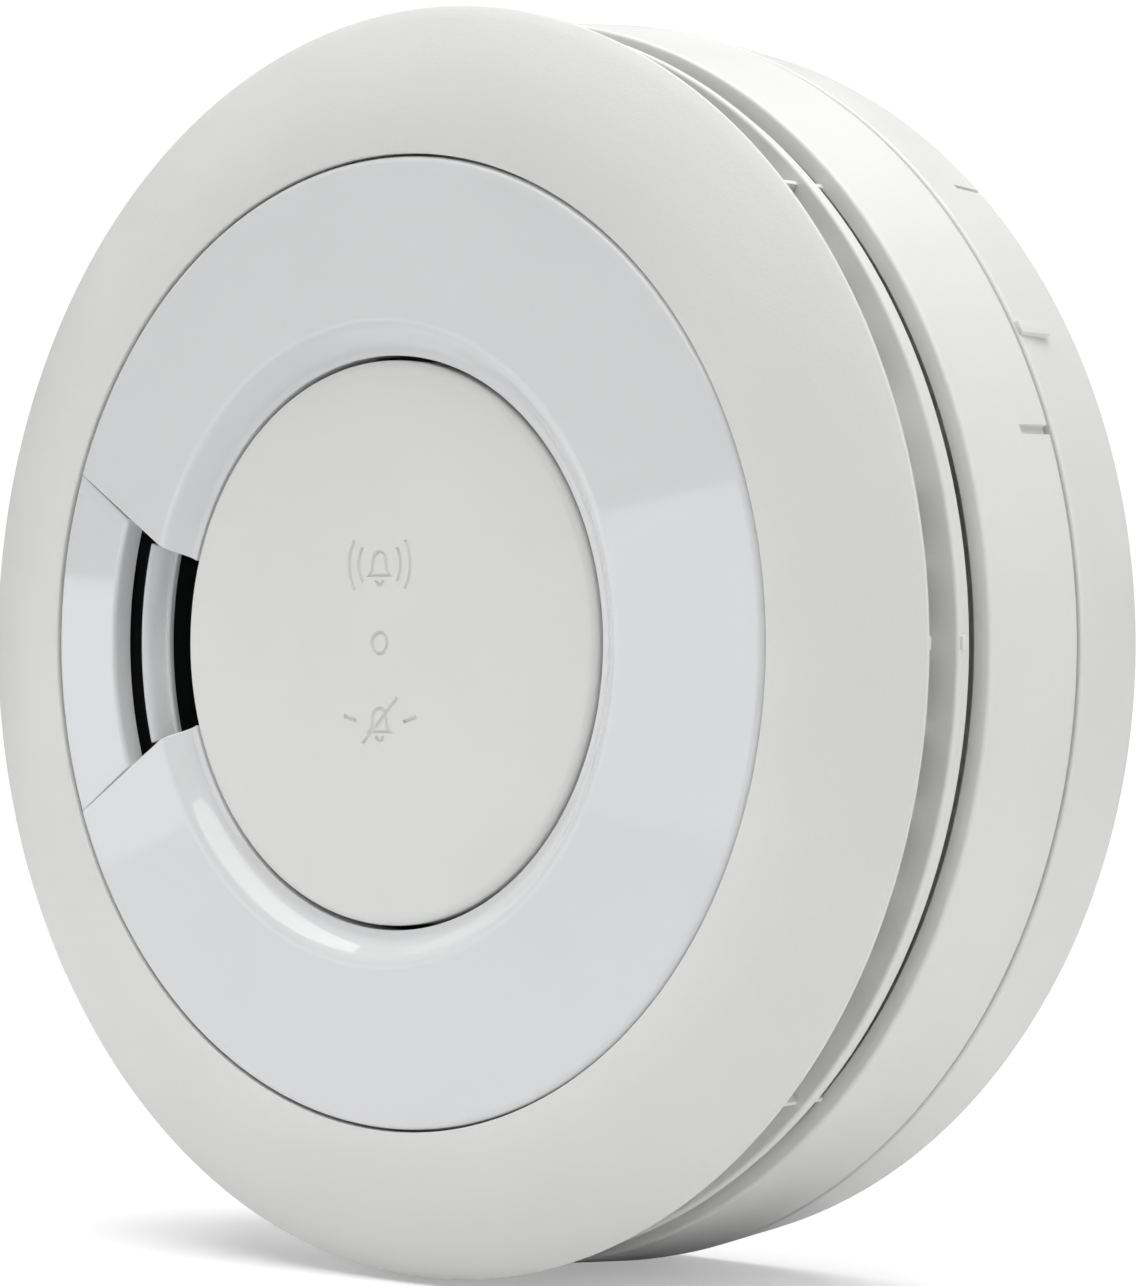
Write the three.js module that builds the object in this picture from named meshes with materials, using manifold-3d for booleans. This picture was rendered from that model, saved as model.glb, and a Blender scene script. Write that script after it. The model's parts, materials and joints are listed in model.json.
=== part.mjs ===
// A wall or ceiling smoke alarm: a twist-on head with a test button, sounder, optical chamber
// and sealed battery, on a round mounting plate.
// Millimetres. The wall is the plane y = 0, the room is towards -Y and +Z is up.
import * as THREE from "three";
import { mergeVertices } from "three/addons/utils/BufferGeometryUtils.js";
import Module from "manifold-3d";

const wasm = await Module();
wasm.setup();

// ---------------------------------------------------------------- driving dimensions
// Depths d run from the face of the trim disc towards the wall, so y = FACE_Y + d.
const FACE_Y = -35.2;
const GAP = 0.3; // clearance between neighbouring pieces
const SKIN = 1.8; // moulded wall

const COVER_R = 57.4; // matte front cover, the widest part of the front
const COVER_RIM_D = 4.4;
const COVER_LIP_D = 4.7;
const RIM_TAB = { deg: [0, 90, 180, 270], half: 0.65, r: [56.3, 57.25], d: [4.4, 5.2] };
const SEAM_R = 43.95; // opening in the cover for the trim disc
const DISC_R = 43.6;
const DISC_RISE = 1.8; // the trim disc's face rises this far from the seam to its crest
const CREST_R = 28.8; // inside the crest the disc dips towards the button
const DISC_HOLE_R = 25.75;
const DISC_THICK = 1.6;

const WEDGE_HALF_DEG = 17.3; // half angle of the horn slot beside the button
const WEDGE_FLARE_DEG = 4.7; // extra half angle at the seam
const WEDGE_REACH_R = 52; // the cutting wedge runs well past the disc
const MOUTH_D = 0.2; // the horn mouth's face lies a little lower than the disc
const MOUTH_END_R = 35;
const MOUTH_END_D = 1.5;
const THROAT_OUT_R = 33.4;
const THROAT_IN_R = 31.2;
const DUCT_R = [33.7, 35]; // black duct behind the throat
const DUCT_LIP_R = 38.4;
const DUCT_LIP_D = [3.6, 4.6];

const BUTTON_R = 25.35;
const BUTTON_TOP_D = -0.7;
const BUTTON_FLAT_R = 20;
const BUTTON_SKIRT_D = 4.6;
const BUTTON_ROOF = 2.1;
const BUTTON_TRAVEL = 1.0;
const GUIDE_R = 22.3; // circle of the button's guide posts
const GUIDE_POST_R = 1.5;
const GUIDE_ANGLES = [30, 150, 270]; // the last one works the switch
const SPRING = { radius: 4, wire: 0.3, turns: 3.5, stud: 2.8 };
const CARRIER_R = 24.2;
const CARRIER_D = [5, 6.1];

const FLANGE_OUT_R = 56.4; // inlet ring between cover and housing
const FLANGE_IN_R = 52.6;
const FLANGE_D = 9.8;
const FLANGE_THICK = 2.4;
const FLANGE_STEP = { r: 55.8, d: 10.55 }; // behind the lip
const FLANGE_TAB = { deg: [0, 90, 180, 270], half: 0.65, r: [55.5, 56.7], d: [10.05, 10.9] };
const WEB_ANGLES = [45, 135, 225, 315]; // thin webs that hold the ring between its neighbours
const WEB_R = [53, 55.6];
const WEB_WIDE = 0.5;
const COMB_COUNT = 48; // bars that keep insects out and let smoke in
const COMB_R = [52.7, 53.2];
const COMB_WIDE = 1.6;
const COMB_D = [5, 14.5];

const HOUSING_FRONT_R = 56.9;
const HOUSING_BACK_R = 57.8;
const HOUSING_IN_R = 55.1;
const HOUSING_FRONT_D = 13.7;
const HOUSING_BACK_D = 25.1;

const PLATE_FRONT_D = 25.6;
const PLATE_FRONT_R = 57.8;
const PLATE_BACK_R = 57.0;
const PLATE_IN_R = 55.6;
const PLATE_WEB = 2.4;
const PLATE_RIB_R = [22.4, 24];
const PLATE_RIB_HIGH = 1;
const WALL_SCREW_SPACING = 60;
const WALL_SCREW_SLOT = { wide: 5, long: 12 };
const BACK_CHAMFER = 0.6;
const EDGE_BEVEL = 0.4; // on the rims of the plate and the housing

// Outside marks that show the twist: a rib and a notch on the plate, a notch on the housing.
const RIB_MARK = { deg: 28.7, half: 0.6, proud: 0.25, from: 0.1, to: 4.4 };
const PLATE_NOTCH = { deg: 44.6, half: 0.2, deep: 0.5, long: 3.8 };
const HOUSING_NOTCH = { deg: 18.8, half: 0.5, deep: 0.3, long: 3.9 };

const BOARD_R = 46.5;
const BOARD_D = 17.5;
const BOARD_THICK = 1.6;
const BOARD_LOW_Z = -27.5; // flat edge that leaves room for the battery

const SCREW_R = 50.5; // circle of the case screws
const SCREW_ANGLES = [20, 140, 260];
const SCREW_SHAFT_R = 1.2;
const SCREW_HEAD_R = 2.6;
const SCREW_HEAD_HIGH = 1.7;
const COUNTERBORE = 2;
const BOSS_HIGH = 2.4; // inside the housing, round each screw
const BOSS_R = 2.8; // on the cover, down to the housing

const HOOK_ANGLES = [90, 210, 330]; // bayonet
const HOOK_HALF_DEG = 5.5;
const HOOK_IN_R = 47.6;
const HOOK_NECK_R = 49.4;
const HOOK_OUT_R = 52.4;
const HOOK_FOOT_Y = [-5.6, -4.2];
const LEDGE_IN_R = 50.0;
const LEDGE_Y = [-8.4, -6.2];

const SLIDER_R = 36; // where the plate's post works the power slider
const DRIVE_POST_R = 1.5;
const SLIDER_STROKE = 7.6;
const SLIDER_BASE = { half: 3.5, long: 6.5 };
const RAIL_X = [3.8, 5]; // guide rails either side of the slider
const RAIL_Z = [-15, 8];
const RAIL_HIGH = 3;

const SOUNDER_R = 19;
const SOUNDER_D = 6.4;
const SOUNDER_WALL = 1.4;
const SOUND_HOLES = { count: 6, circle: 11, radius: 2 };
const PIEZO_D = [10.6, 10.9];
const CERAMIC_D = [10, 10.3];
const SEAT_HIGH = 1; // the spring's seat on the sounder
const CHAMBER_Z = 35.5;
const CHAMBER_R = 15.2;
const CHAMBER_D = 6.4;
const FINS = { count: 14, circle: 12.9, size: [3, 7.2, 0.8], slant: 40 };
const OPTICS = { radius: 1.5, long: 5.2, circle: 10.8, d: 12.6, emitterDeg: 200, receiverDeg: 335 };
const BATTERY_R = 8.3;
const BATTERY_LONG = 33.5;
const BATTERY_Z = -37;
const BATTERY_D = 13.8;
const CRADLE_Z = [-45.6, -28];
const CRADLE_RAIL_WIDE = 2.5;

// Parts on the front of the board: places in x and z, and how high they stand.
const CHIP = { x: [25.5, 34.5], z: [9.5, 18.5], high: 1.4 };
const SHIELD = { x: [-35, -21], z: [14, 26], high: 5, wall: 0.4 };
const LARGE_CAPACITOR = { radius: 3.1, high: 8, x: -33, z: -17 };
const SMALL_CAPACITOR = { radius: 2.4, high: 6, x: -25, z: -22 };
const COIL = { radius: 4.2, high: 6, x: 36, z: -14 };
const LIGHT = { radius: 1.5, circle: 32.6, deg: 317, high: 2.5 };
const STANDOFFS = { radius: 2, circle: 40, angles: [60, 180, 320] };
const LABEL = { wide: 32, tall: 20, thick: 0.25 };

const SINK = 0.5; // how far joined features sink into their wall
const OVER = 1; // how far cutting tools run past the faces that they cut
const FORK_REACH = 3.85; // half the opening that the slider's fork needs

const LARGE = 48; // facets round the outer shells
const MEDIUM = 32;
const SMALL = 14;

// ---------------------------------------------------------------- small tools
const rad = THREE.MathUtils.degToRad;
const back = (d) => FACE_Y + d;
const boardFront = back(BOARD_D) - GAP;
const boardRear = back(BOARD_D + BOARD_THICK) + GAP;
const polar = (r, deg) => new THREE.Vector2(r * Math.cos(rad(deg)), r * Math.sin(rad(deg)));

function solid(geometry) {
  const bare = geometry.index ? geometry.toNonIndexed() : geometry.clone();
  bare.deleteAttribute("normal");
  bare.deleteAttribute("uv");
  const merged = mergeVertices(bare, 1e-4);
  const triVerts = [];
  for (let i = 0; i < merged.index.count; i += 3) {
    const [a, b, c] = [0, 1, 2].map((k) => merged.index.getX(i + k));
    if (a !== b && b !== c && a !== c) triVerts.push(a, b, c);
  }
  const vertProperties = new Float32Array(merged.attributes.position.array);
  const build = (order) =>
    new wasm.Manifold(new wasm.Mesh({ numProp: 3, vertProperties, triVerts: new Uint32Array(order) }));
  const made = build(triVerts);
  return made.volume() < 0 ? build(triVerts.reverse()) : made;
}

function geometryOf(made) {
  const mesh = made.getMesh();
  const geometry = new THREE.BufferGeometry();
  geometry.setAttribute("position", new THREE.BufferAttribute(new Float32Array(mesh.vertProperties), 3));
  geometry.setIndex(new THREE.BufferAttribute(new Uint32Array(mesh.triVerts), 1));
  geometry.computeVertexNormals();
  return geometry;
}

const join = (first, ...others) => others.reduce((sum, piece) => sum.add(piece), first);
const cut = (first, ...others) => others.reduce((rest, piece) => rest.subtract(piece), first);

// A solid turned round the Y axis from a closed outline of [radius, y] points.
function turned(outline, facets = LARGE) {
  const points = outline.map(([r, y]) => new THREE.Vector2(r, y));
  if (outline[0][0] > 0) points.push(points[0].clone());
  return solid(new THREE.LatheGeometry(points, facets));
}

const turnedDepths = (outline, facets) => turned(outline.map(([r, d]) => [r, back(d)]), facets);

// A prism between two y planes, from an outline of (x, z) points.
function prism(points, y0, y1) {
  const shape = new THREE.Shape(points);
  const geometry = new THREE.ExtrudeGeometry(shape, { depth: y1 - y0, bevelEnabled: false });
  return solid(geometry.rotateX(Math.PI / 2).translate(0, y1, 0));
}

function sectorOutline(r0, r1, deg0, deg1, steps = 4) {
  const points = [];
  for (let i = 0; i <= steps; i++) points.push(polar(r1, deg0 + ((deg1 - deg0) * i) / steps));
  for (let i = steps; i >= 0; i--) points.push(polar(r0, deg0 + ((deg1 - deg0) * i) / steps));
  return points;
}

const sector = (r0, r1, deg0, deg1, y0, y1) => prism(sectorOutline(r0, r1, deg0, deg1), y0, y1);

function rod(radius, y0, y1, x = 0, z = 0, facets = SMALL) {
  const geometry = new THREE.CylinderGeometry(radius, radius, y1 - y0, facets);
  return solid(geometry.translate(x, (y0 + y1) / 2, z));
}

function rodAt(radius, y0, y1, circle, deg, facets = SMALL) {
  const place = polar(circle, deg);
  return rod(radius, y0, y1, place.x, place.y, facets);
}

function block([x0, x1], [y0, y1], [z0, z1], turnDeg = 0) {
  const geometry = new THREE.BoxGeometry(x1 - x0, y1 - y0, z1 - z0);
  geometry.translate((x0 + x1) / 2, (y0 + y1) / 2, (z0 + z1) / 2);
  return solid(geometry.rotateY(-rad(turnDeg)));
}

// The horn wedge seen from the front: straight beside the button, flaring out to the seam.
function wedgeOutline(r0, r1, inset = 0, steps = 9) {
  const side = [];
  for (let i = 0; i <= steps; i++) {
    const r = r0 + ((r1 - r0) * i) / steps;
    const out = Math.max(0, (r - DISC_HOLE_R) / (SEAM_R - DISC_HOLE_R));
    side.push([r, WEDGE_HALF_DEG + WEDGE_FLARE_DEG * out - THREE.MathUtils.radToDeg(inset / r)]);
  }
  const upper = side.map(([r, deg]) => polar(r, 180 - deg));
  const lower = side.map(([r, deg]) => polar(r, 180 + deg)).reverse();
  return [...upper, ...lower];
}

// Blocks at several angles, square to the radius: spans across the radius and depth.
const blocksAround = (degrees, radii, depths, half) =>
  degrees.map((deg) => block(radii, depths.map(back), [-half, half], deg));

const tabs = ({ deg, half, r, d }) => blocksAround(deg, r, d, half);

// ---------------------------------------------------------------- materials
const finish = (color, roughness, metalness = 0) =>
  new THREE.MeshStandardMaterial({ color, roughness, metalness });

const matteWhite = () => finish(0xe9e9e7, 0.55);
const glossWhite = () => finish(0xeeeff1, 0.12);
const satinWhite = () => finish(0xe8e8e6, 0.42);
const blackPlastic = () => finish(0x18181a, 0.5);
const steel = () => finish(0xb9bcc0, 0.3, 1);
const brass = () => finish(0xc9a352, 0.3, 1);

// ---------------------------------------------------------------- mounting plate
function mountingPlate() {
  const front = back(PLATE_FRONT_D);
  const web = -PLATE_WEB;
  const rib = web - PLATE_RIB_HIGH;
  const cup = turned([
    [0, 0],
    [PLATE_BACK_R - BACK_CHAMFER, 0],
    [PLATE_BACK_R, -BACK_CHAMFER],
    [PLATE_FRONT_R, front + EDGE_BEVEL],
    [PLATE_FRONT_R - EDGE_BEVEL, front],
    [PLATE_IN_R, front],
    [PLATE_IN_R, web],
    [PLATE_RIB_R[1], web],
    [PLATE_RIB_R[1], rib],
    [PLATE_RIB_R[0], rib],
    [PLATE_RIB_R[0], web],
    [0, web],
  ]);
  const ledges = HOOK_ANGLES.flatMap((deg) => {
    const wallR = PLATE_IN_R + 0.8;
    const stop = [deg - HOOK_HALF_DEG - 2, deg - HOOK_HALF_DEG - 0.4];
    return [
      sector(LEDGE_IN_R, wallR, stop[0], deg + HOOK_HALF_DEG, ...LEDGE_Y),
      sector(LEDGE_IN_R, wallR, ...stop, LEDGE_Y[0], web + SINK),
    ];
  });
  const drivePost = rod(DRIVE_POST_R, front + 0.6, web + SINK, SLIDER_R, 0);
  const { wide, long } = WALL_SCREW_SLOT;
  const middle = WALL_SCREW_SPACING / 2;
  const slotBox = [[middle - wide / 2, middle + wide / 2], [web - OVER, OVER], [-long / 2, long / 2]];
  const slots = [0, 90, 180, 270].map((deg) => block(...slotBox, deg));
  const mark = block(
    [PLATE_BACK_R - 1.5, PLATE_FRONT_R + RIB_MARK.proud],
    [front + RIB_MARK.from, front + RIB_MARK.to],
    [-RIB_MARK.half, RIB_MARK.half],
    RIB_MARK.deg,
  );
  const notch = block(
    [PLATE_BACK_R - PLATE_NOTCH.deep, PLATE_FRONT_R + OVER],
    [-PLATE_NOTCH.long, OVER],
    [-PLATE_NOTCH.half, PLATE_NOTCH.half],
    PLATE_NOTCH.deg,
  );
  return geometryOf(cut(join(cup, ...ledges, drivePost, mark), ...slots, notch));
}

// ---------------------------------------------------------------- rear housing
function rearHousing() {
  const front = back(HOUSING_FRONT_D);
  const outside = back(HOUSING_BACK_D);
  const inside = outside - SKIN;
  const cup = turned([
    [0, outside],
    [HOUSING_BACK_R - EDGE_BEVEL, outside],
    [HOUSING_BACK_R, outside - EDGE_BEVEL],
    [HOUSING_FRONT_R, front + EDGE_BEVEL],
    [HOUSING_FRONT_R - EDGE_BEVEL, front],
    [HOUSING_IN_R, front],
    [HOUSING_IN_R, inside],
    [0, inside],
  ]);
  const hooks = HOOK_ANGLES.flatMap((deg) => {
    const span = [deg - HOOK_HALF_DEG, deg + HOOK_HALF_DEG];
    return [
      sector(HOOK_IN_R, HOOK_NECK_R, ...span, outside - SINK, HOOK_FOOT_Y[1]),
      sector(HOOK_IN_R, HOOK_OUT_R, ...span, ...HOOK_FOOT_Y),
    ];
  });
  const screwRods = (radius, y0, y1) => SCREW_ANGLES.map((deg) => rodAt(radius, y0, y1, SCREW_R, deg));
  const screwBosses = screwRods(SCREW_HEAD_R + 1, inside - BOSS_HIGH, inside + SINK);
  const counterbores = screwRods(SCREW_HEAD_R + 0.4, outside - COUNTERBORE, outside + OVER);
  const screwHoles = screwRods(SCREW_SHAFT_R + 0.5, inside - BOSS_HIGH - OVER, outside);
  const standoffs = STANDOFFS.angles.map((deg) =>
    rodAt(STANDOFFS.radius, boardRear, inside + SINK, STANDOFFS.circle, deg),
  );
  const [railNear, railFar] = RAIL_X;
  const railSpans = [
    [SLIDER_R - railFar, SLIDER_R - railNear],
    [SLIDER_R + railNear, SLIDER_R + railFar],
  ];
  const rails = railSpans.map((x) => block(x, [inside - RAIL_HIGH, inside + SINK], RAIL_Z));
  const forkSlot = block(
    [SLIDER_R - 3, SLIDER_R + 3],
    [inside - OVER, outside + OVER],
    [-FORK_REACH - SLIDER_STROKE, FORK_REACH],
  );
  const notch = block(
    [HOUSING_FRONT_R - HOUSING_NOTCH.deep, HOUSING_BACK_R + OVER],
    [outside - HOUSING_NOTCH.long, outside + OVER],
    [-HOUSING_NOTCH.half, HOUSING_NOTCH.half],
    HOUSING_NOTCH.deg,
  );
  const whole = join(cup, ...hooks, ...screwBosses, ...standoffs, ...rails);
  return geometryOf(cut(whole, ...counterbores, ...screwHoles, forkSlot, notch));
}

// ---------------------------------------------------------------- front pieces
// The cover's dome: nearly flat at the seam and steeper towards the rim.
const domeDepth = (r) => 4.0 * Math.pow((r - 44.2) / 12.7, 1.7);

function frontCover() {
  const dome = [45.5, 47.5, 49.5, 51.5, 53.5, 55.2, 56.5, 57].map((r) => [r, domeDepth(r)]);
  const ring = turnedDepths([
    [41, 1.9],
    [SEAM_R, 1.9],
    [SEAM_R, 0.3],
    [SEAM_R + 0.3, 0],
    ...dome,
    [COVER_R - 0.1, 4.2],
    [COVER_R, COVER_RIM_D],
    [COVER_R - 0.1, 4.6],
    [COVER_R - 0.4, COVER_LIP_D],
    [55.4, COVER_LIP_D],
    [54.4, 4.4],
    [50, 3.5],
    [41, 3.2],
  ]);
  const bossEnd = back(HOUSING_BACK_D) - SKIN - BOSS_HIGH - GAP;
  const boreR = SCREW_SHAFT_R + GAP;
  const bosses = SCREW_ANGLES.map((deg) => rodAt(BOSS_R, back(3.2), bossEnd, SCREW_R, deg));
  const bores = SCREW_ANGLES.map((deg) => rodAt(boreR, back(7), bossEnd + OVER, SCREW_R, deg));
  return geometryOf(cut(join(ring, ...bosses, ...tabs(RIM_TAB)), ...bores));
}

function inletRing() {
  const rear = FLANGE_D + FLANGE_THICK;
  const ring = turnedDepths([
    [FLANGE_IN_R, FLANGE_D],
    [FLANGE_OUT_R - 0.45, FLANGE_D],
    [FLANGE_OUT_R, FLANGE_D + 0.3],
    [FLANGE_OUT_R, FLANGE_STEP.d],
    [FLANGE_STEP.r, FLANGE_STEP.d],
    [FLANGE_STEP.r, rear],
    [FLANGE_IN_R, rear],
  ]);
  const webSpan = [COVER_LIP_D + GAP, HOUSING_FRONT_D - GAP];
  const webs = blocksAround(WEB_ANGLES, WEB_R, webSpan, WEB_WIDE / 2);
  const combAngles = Array.from({ length: COMB_COUNT }, (_, i) => (i * 360) / COMB_COUNT);
  const comb = blocksAround(combAngles, COMB_R, COMB_D, COMB_WIDE / 2);
  const clear = SCREW_ANGLES.map((deg) => rodAt(BOSS_R + GAP, back(4), back(rear + 4), SCREW_R, deg));
  return geometryOf(cut(join(ring, ...comb, ...webs, ...tabs(FLANGE_TAB)), ...clear));
}

const WEDGE_SPAN = [back(-2), back(8)]; // the wedge cuts run past both faces of the disc

function trimDisc() {
  const full = turnedDepths([
    [DISC_R, DISC_THICK],
    [DISC_R, 0.6],
    [DISC_R - 0.3, 0.15],
    [DISC_R - 0.9, 0],
    [CREST_R, -DISC_RISE],
    [CREST_R - 0.5, 0.1 - DISC_RISE],
    [27.6, -1.2],
    [27, -0.5],
    [26.4, 0],
    [DISC_HOLE_R, 0.15],
    [DISC_HOLE_R, 2.6],
    [27.2, 2.6],
    [28.6, 1.2],
    [31, 0.5],
  ]);
  const wedge = prism(wedgeOutline(DISC_HOLE_R - 3, WEDGE_REACH_R), ...WEDGE_SPAN);
  return geometryOf(cut(full, wedge));
}

function hornMouth() {
  const full = turnedDepths([
    [DISC_R, DISC_THICK],
    [DISC_R, 0.7],
    [DISC_R - 0.4, MOUTH_D],
    [MOUTH_END_R + 0.6, MOUTH_D - 0.9],
    [MOUTH_END_R + 0.2, MOUTH_D - 0.7],
    [MOUTH_END_R, MOUTH_D - 0.2],
    [MOUTH_END_R, MOUTH_END_D],
    [MOUTH_END_R + 2, 1.1],
  ]);
  const wedge = prism(wedgeOutline(MOUTH_END_R - 2, WEDGE_REACH_R, GAP), ...WEDGE_SPAN);
  return geometryOf(full.intersect(wedge));
}

// Piece of a turned outline that fills the horn slot's angle.
function inSlot(outline) {
  const half = WEDGE_HALF_DEG - 0.8;
  const radii = outline.map(([r]) => r);
  const reach = [Math.min(...radii) - 2, Math.max(...radii) + 2];
  const slot = sector(...reach, 180 - half, 180 + half, back(0), back(BOARD_D + 2));
  return geometryOf(turnedDepths(outline).intersect(slot));
}

// The stepped arc that leads the sound into the horn slot.
function hornThroat() {
  return inSlot([
    [THROAT_OUT_R, 5.6],
    [THROAT_OUT_R, 1.6],
    [THROAT_OUT_R - 0.2, 1.35],
    [32.6, 1.5],
    [32.0, 2.4],
    [31.75, 3.0],
    [31.45, 2.75],
    [THROAT_IN_R, 2.95],
    [THROAT_IN_R, 3.5],
    [THROAT_IN_R + 0.7, 4.1],
  ]);
}

// The duct from the board's front to the throat.
function hornDuct() {
  const foot = BOARD_D - GAP;
  const [inner, outer] = DUCT_R;
  const [lipFront, lipRear] = DUCT_LIP_D;
  return inSlot([
    [inner, foot],
    [inner, lipFront],
    [DUCT_LIP_R, lipFront],
    [DUCT_LIP_R, lipRear],
    [outer, lipRear],
    [outer, foot],
  ]);
}

// ---------------------------------------------------------------- test button
const switchFront = back(12.6);

function testButton() {
  const top = BUTTON_TOP_D;
  const cap = turnedDepths([
    [0, top],
    [BUTTON_FLAT_R, top],
    [24.5, top + 0.2],
    [25, top + 0.4],
    [BUTTON_R, top + 0.9],
    [BUTTON_R, BUTTON_SKIRT_D],
    [BUTTON_R - 0.8, BUTTON_SKIRT_D],
    [BUTTON_R - 0.8, top + BUTTON_ROOF],
    [0, top + BUTTON_ROOF],
  ]);
  const root = back(top + BUTTON_ROOF) - GAP;
  const post = (end, deg) => rodAt(GUIDE_POST_R, root, end, GUIDE_R, deg);
  const [right, left, low] = GUIDE_ANGLES;
  const posts = [post(back(5.8), right), post(back(5.8), left), post(switchFront - 0.8, low)];
  const springStud = rod(SPRING.stud, root, back(2.6));
  return geometryOf(join(cap, ...posts, springStud));
}

class Helix extends THREE.Curve {
  constructor(radius, y0, y1, turns) {
    super();
    Object.assign(this, { radius, y0, y1, turns });
  }
  getPoint(t, target = new THREE.Vector3()) {
    const angle = 2 * Math.PI * this.turns * t;
    const y = this.y0 + (this.y1 - this.y0) * t;
    return target.set(this.radius * Math.cos(angle), y, this.radius * Math.sin(angle));
  }
}

function buttonSpring() {
  const { radius, wire, turns } = SPRING;
  const section = new THREE.Shape().absarc(0, 0, wire, 0, 2 * Math.PI);
  const start = back(BUTTON_TOP_D + BUTTON_ROOF) + GAP + wire;
  const end = back(SOUNDER_D - SEAT_HIGH) - GAP - wire;
  const path = new Helix(radius, start, end, turns);
  const geometry = new THREE.ExtrudeGeometry(section, { steps: 48, curveSegments: 3, extrudePath: path });
  return geometryOf(solid(geometry));
}

// A three-armed frame in front of the sounder that guides the button's posts.
function buttonCarrier() {
  const [y0, y1] = CARRIER_D.map(back);
  const through = [y0 - OVER, y1 + OVER];
  const frame = cut(rod(CARRIER_R, y0, y1, 0, 0, MEDIUM), rod(5.8, ...through));
  const holes = GUIDE_ANGLES.map((deg) => rodAt(GUIDE_POST_R + GAP, ...through, GUIDE_R, deg));
  const windows = GUIDE_ANGLES.map((deg) => sector(8, 21, deg + 16, deg + 104, ...through));
  return geometryOf(cut(frame, ...holes, ...windows));
}

function switchBody() {
  const half = 2.6;
  const z = -GUIDE_R;
  const box = block([-half, half], [switchFront + 1, boardFront], [z - half, z + half]);
  return geometryOf(cut(box, rod(1.5, switchFront, switchFront + 2.6, 0, z)));
}

const switchPlunger = () => geometryOf(rod(1.2, switchFront, switchFront + 2.2, 0, -GUIDE_R));

// ---------------------------------------------------------------- sounder
function sounderHousing() {
  const foot = BOARD_D - GAP;
  const inner = SOUNDER_R - SOUNDER_WALL;
  const roof = SOUNDER_D + 1.2;
  const cup = turnedDepths(
    [
      [0, SOUNDER_D - SEAT_HIGH],
      [5, SOUNDER_D - SEAT_HIGH],
      [5, SOUNDER_D],
      [SOUNDER_R, SOUNDER_D],
      [SOUNDER_R, foot],
      [inner, foot],
      [inner, roof],
      [0, roof],
    ],
    MEDIUM,
  );
  const { count, circle, radius } = SOUND_HOLES;
  const through = [back(SOUNDER_D) - OVER, back(roof) + OVER];
  const holes = Array.from({ length: count }, (_, i) =>
    rodAt(radius, ...through, circle, (i * 360) / count, 10),
  );
  return geometryOf(cut(cup, ...holes));
}

const piezoDisc = () => geometryOf(rod(SOUNDER_R - 1.8, ...PIEZO_D.map(back), 0, 0, MEDIUM));
const piezoCeramic = () => geometryOf(rod(11, ...CERAMIC_D.map(back), 0, 0, MEDIUM));

// A bent leaf that presses on the sounder disc from the circuit board.
function piezoContact(x) {
  const reach = BOARD_D - PIEZO_D[1] - 2 * GAP;
  const shape = new THREE.Shape();
  shape.moveTo(0, 0);
  shape.lineTo(3, 0);
  shape.lineTo(3, 0.4);
  shape.lineTo(0.4, 0.4);
  shape.lineTo(0.4, reach - 1);
  shape.lineTo(3.4, reach - 0.3);
  shape.lineTo(3.4, reach);
  shape.lineTo(0, reach - 0.6);
  const geometry = new THREE.ExtrudeGeometry(shape, { depth: 2, bevelEnabled: false });
  geometry.rotateX(Math.PI).translate(x, boardFront, 1);
  return geometryOf(solid(geometry));
}

// ---------------------------------------------------------------- optical chamber
const chamberRod = (radius, d0, d1, facets) => rod(radius, back(d0), back(d1), 0, CHAMBER_Z, facets);

function chamberBase() {
  const floor = chamberRod(CHAMBER_R, 16, BOARD_D - GAP, MEDIUM);
  const hub = chamberRod(10.6, 15, 16.2, MEDIUM);
  return geometryOf(cut(join(floor, hub), chamberRod(7, 14, 15.6, 20)));
}

function labyrinthWall() {
  const sill = cut(chamberRod(14.2, 15, 15.7, MEDIUM), chamberRod(11.6, 14, 17, MEDIUM));
  const { count, circle, size, slant } = FINS;
  const fins = Array.from({ length: count }, (_, i) => {
    const deg = (i * 360) / count;
    const place = polar(circle, deg);
    const fin = new THREE.BoxGeometry(...size).rotateY(-rad(deg + slant));
    return solid(fin.translate(place.x, back(11.7), CHAMBER_Z + place.y));
  });
  const clip = chamberRod(14.2, 7, 17, MEDIUM);
  return geometryOf(join(sill, ...fins).intersect(clip));
}

const insectScreen = () =>
  geometryOf(cut(chamberRod(CHAMBER_R - 0.1, 8, 15.7, MEDIUM), chamberRod(14.6, 7, 17, MEDIUM)));

function chamberCap() {
  const lid = chamberRod(CHAMBER_R, CHAMBER_D, CHAMBER_D + 1.3, MEDIUM);
  return geometryOf(join(lid, chamberRod(10, CHAMBER_D + 1, CHAMBER_D + 2, MEDIUM)));
}

// A dome-ended light part.
function domed({ radius, long }) {
  const outline = [[0, 0], [radius, 0], [radius, long - radius]];
  for (let deg = 30; deg < 90; deg += 30) {
    outline.push([radius * Math.cos(rad(deg)), long - radius + radius * Math.sin(rad(deg))]);
  }
  outline.push([0, long]);
  return turned(outline, SMALL);
}

// Points a light part at the middle of the chamber.
function placeInChamber(mesh, deg) {
  const start = polar(OPTICS.circle, deg);
  mesh.position.set(start.x, back(OPTICS.d), CHAMBER_Z + start.y);
  mesh.quaternion.setFromUnitVectors(
    new THREE.Vector3(0, 1, 0),
    new THREE.Vector3(-start.x, 0, -start.y).normalize(),
  );
}

// ---------------------------------------------------------------- board and battery
function circuitBoard() {
  const disc = rod(BOARD_R, back(BOARD_D), back(BOARD_D + BOARD_THICK), 0, 0, LARGE);
  const far = BOARD_R + OVER;
  const below = block([-far, far], [back(BOARD_D) - OVER, back(BOARD_D) + 4], [-far, BOARD_LOW_Z]);
  return geometryOf(cut(disc, below));
}

const canOnBoard = ({ radius, high, x, z }) =>
  geometryOf(rod(radius, boardFront - high, boardFront, x, z, MEDIUM / 2));

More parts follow.
